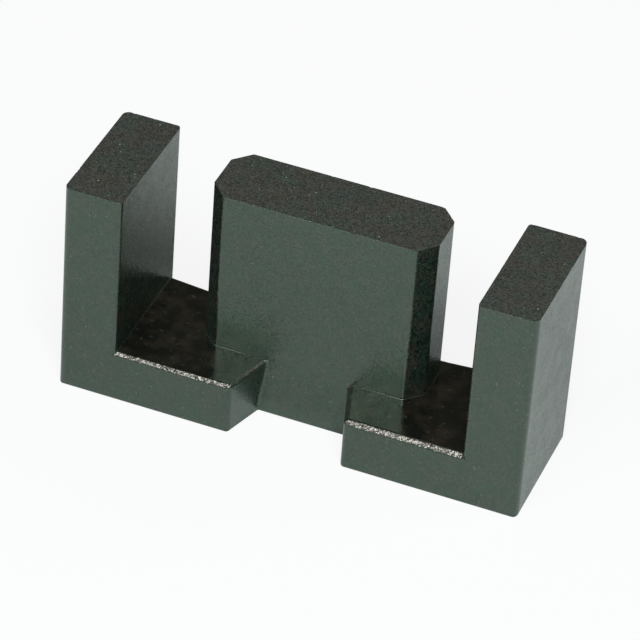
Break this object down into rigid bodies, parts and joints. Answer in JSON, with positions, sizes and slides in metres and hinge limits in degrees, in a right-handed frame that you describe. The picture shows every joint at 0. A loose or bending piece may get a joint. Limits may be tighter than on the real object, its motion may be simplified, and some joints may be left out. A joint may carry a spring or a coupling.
{
  "type": "ferrite e core",
  "caption": "Flat-design E core half in sintered ferrite: a yoke with two outer legs and a wide, low centre leg with chamfered corners, and a tapered notch in the yoke.",
  "frame": {"origin": "under the middle of the yoke, on the plane that its back rests on", "axes": "+X across the three legs, +Y from the notched front face to the back, +Z along the legs towards the pole faces"},
  "size_m": [0.0304, 0.0092, 0.0149],
  "materials": {
    "ferrite": "sintered manganese-zinc ferrite: satin dark grey-green pressed faces, ground brown-grey pole faces"
  },
  "bodies": {
    "root": {"core": "ferrite"}
  },
  "joints": []
}
